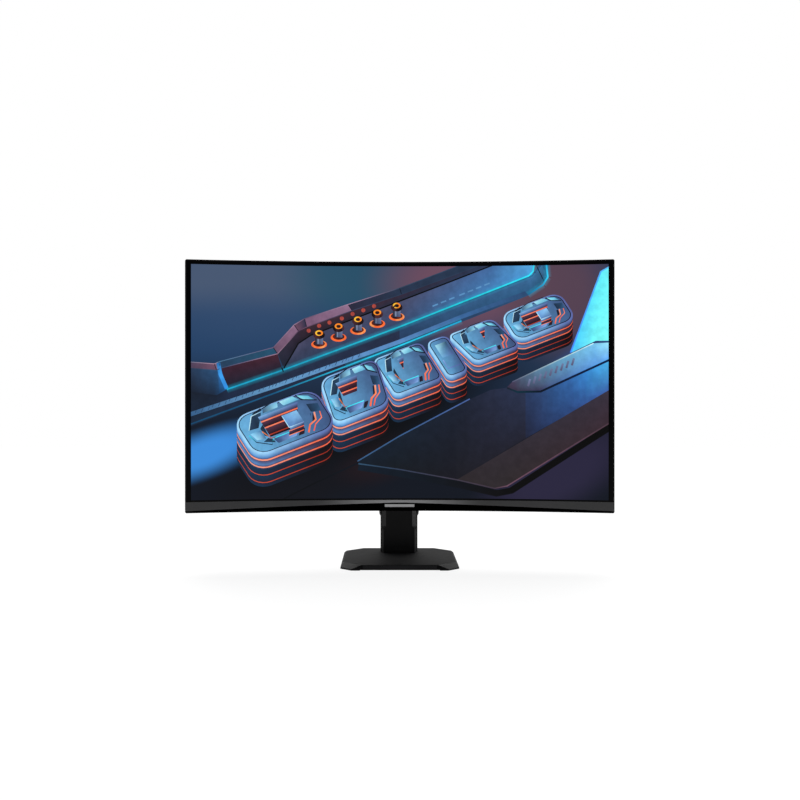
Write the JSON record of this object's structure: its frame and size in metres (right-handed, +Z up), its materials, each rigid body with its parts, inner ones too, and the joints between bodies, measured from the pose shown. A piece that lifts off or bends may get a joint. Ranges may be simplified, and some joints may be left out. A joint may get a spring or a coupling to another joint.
{
  "type": "curved computer monitor",
  "caption": "Curved widescreen computer monitor on a fixed-height neck and octagonal base, with a tilting head and a quick-release stand mount.",
  "frame": {"origin": "centre of the bounding box in plan, on the surface the rubber feet stand on", "axes": "+X to the viewer's right along the screen's width, +Y from the screen towards the back, +Z up"},
  "size_m": [0.615, 0.167, 0.4402],
  "materials": {
    "front_frame": "fine matte texture",
    "lcd_cell": "anti-glare coated screen",
    "optical_films": "translucent film",
    "light_guide": "clear acrylic",
    "reflector_sheet": "white sheet",
    "led_strip": "white circuit board",
    "led_emitters": "yellow phosphor",
    "panel_chassis": "galvanised sheet",
    "chin_cover": "gloss black",
    "chin_trim": "dark grey brushed look",
    "chin_badge": "silver, plain",
    "power_light": "clear light pipe",
    "rear_cover": "fine textured black",
    "cover_screws": "black zinc",
    "vesa_bracket": "galvanised sheet",
    "vesa_inserts": "plain",
    "board_tray": "galvanised sheet",
    "main_board": "green solder mask",
    "main_board_parts": "moulded packages",
    "heat_sink": "extruded",
    "power_board": "tan board",
    "power_board_parts": "wound and moulded parts",
    "board_screws": "zinc",
    "hdmi_ports": "plated shell",
    "displayport_port": "plated shell",
    "audio_jack": "moulded",
    "power_inlet": "moulded",
    "inlet_pins": "nickel plated",
    "source_board": "green solder mask",
    "driver_flexes": "amber film",
    "panel_ribbon": "flat cable",
    "backlight_lead": "insulated wire",
    "joystick_lead": "insulated wire",
    "joystick_board": "green solder mask",
    "joystick_housing": "moulded",
    "joystick_plunger": "moulded",
    "joystick_gimbal": "moulded",
    "joystick_cap": "soft touch",
    "tilt_bracket": "black coated steel",
    "mount_cover": "fine textured black",
    "tilt_shaft": "ground",
    "friction_washers": "bronze",
    "disc_springs": "spring steel",
    "shaft_nuts": "zinc",
    "release_button": "fine texture",
    "release_latch": "zinc",
    "release_spring": "spring wire",
    "hinge_yoke": "black coated steel",
    "hinge_cover": "fine textured black",
    "neck_column": "galvanised tube",
    "neck_foot": "cast zinc",
    "neck_front_cover": "satin black",
    "neck_rear_cover": "fine textured black",
    "cable_clip": "moulded",
    "base_cover": "fine textured dark grey",
    "base_insert": "moulded",
    "base_plate": "zinc coated steel",
    "rubber_feet": "rubber",
    "base_screw": "zinc"
  },
  "bodies": {
    "stand": {"hinge_yoke": "hinge_yoke", "hinge_cover": "hinge_cover", "neck_column": "neck_column", "neck_foot": "neck_foot", "neck_front_cover": "neck_front_cover", "neck_rear_cover": "neck_rear_cover", "cable_clip": "cable_clip", "base_cover": "base_cover", "base_insert": "base_insert", "base_plate": "base_plate", "rubber_feet": "rubber_feet"},
    "head": {"front_frame": "front_frame", "lcd_cell": "lcd_cell", "optical_films": "optical_films", "light_guide": "light_guide", "reflector_sheet": "reflector_sheet", "led_strip": "led_strip", "led_emitters": "led_emitters", "panel_chassis": "panel_chassis", "chin_cover": "chin_cover", "chin_trim": "chin_trim", "chin_badge": "chin_badge", "power_light": "power_light", "rear_cover": "rear_cover", "cover_screws": "cover_screws", "vesa_bracket": "vesa_bracket", "vesa_inserts": "vesa_inserts", "board_tray": "board_tray", "main_board": "main_board", "main_board_parts": "main_board_parts", "heat_sink": "heat_sink", "power_board": "power_board", "power_board_parts": "power_board_parts", "board_screws": "board_screws", "hdmi_ports": "hdmi_ports", "displayport_port": "displayport_port", "audio_jack": "audio_jack", "power_inlet": "power_inlet", "inlet_pins": "inlet_pins", "source_board": "source_board", "driver_flexes": "driver_flexes", "panel_ribbon": "panel_ribbon", "backlight_lead": "backlight_lead", "joystick_lead": "joystick_lead", "joystick_board": "joystick_board", "joystick_housing": "joystick_housing", "tilt_bracket": "tilt_bracket", "mount_cover": "mount_cover", "tilt_shaft": "tilt_shaft", "friction_washers": "friction_washers", "disc_springs": "disc_springs", "shaft_nuts": "shaft_nuts", "release_spring": "release_spring"},
    "joystick_switch": {"joystick_plunger": "joystick_plunger"},
    "joystick_ring": {"joystick_gimbal": "joystick_gimbal"},
    "joystick_stick": {"joystick_cap": "joystick_cap"},
    "release_button": {"release_button": "release_button"},
    "release_latch": {"release_latch": "release_latch"},
    "base_screw": {"base_screw": "base_screw"}
  },
  "joints": [
    {"name": "tilt", "type": "hinge", "parent": "stand", "child": "head", "pos_m": [0, 0.044, 0.25], "axis": [-1, 0, 0], "range_deg": [-5, 20]},
    {"name": "joystick_press", "type": "slide", "parent": "head", "child": "joystick_switch", "axis": [-0.1501, -0.9887, 0], "range_m": [0, 0.0005], "stiffness_N_per_m": 1500},
    {"name": "joystick_sideways", "type": "hinge", "parent": "joystick_switch", "child": "joystick_ring", "pos_m": [0.22705, -0.04194, 0.1149], "axis": [0, 0, 1], "range_deg": [-8, 8], "stiffness_Nm_per_rad": 0.05},
    {"name": "joystick_up_down", "type": "hinge", "parent": "joystick_ring", "child": "joystick_stick", "pos_m": [0.22705, -0.04194, 0.1149], "axis": [0.9887, -0.1501, 0], "range_deg": [-8, 8], "stiffness_Nm_per_rad": 0.05},
    {"name": "release_press", "type": "slide", "parent": "head", "child": "release_button", "axis": [0, -1, 0], "range_m": [0, 0.004], "stiffness_N_per_m": 200},
    {"name": "latch_slide", "type": "slide", "parent": "head", "child": "release_latch", "axis": [0, 0, -1], "range_m": [0, 0.004], "stiffness_N_per_m": 400, "deforming": ["release_spring"]},
    {"name": "base_screw_turn", "type": "hinge", "parent": "stand", "child": "base_screw", "pos_m": [0, 0.0455, 0.002], "axis": [0, 0, 1], "continuous": true}
  ],
  "couplings": [
    {"joint": "latch_slide", "follows": "release_press", "ratio": 1}
  ]
}
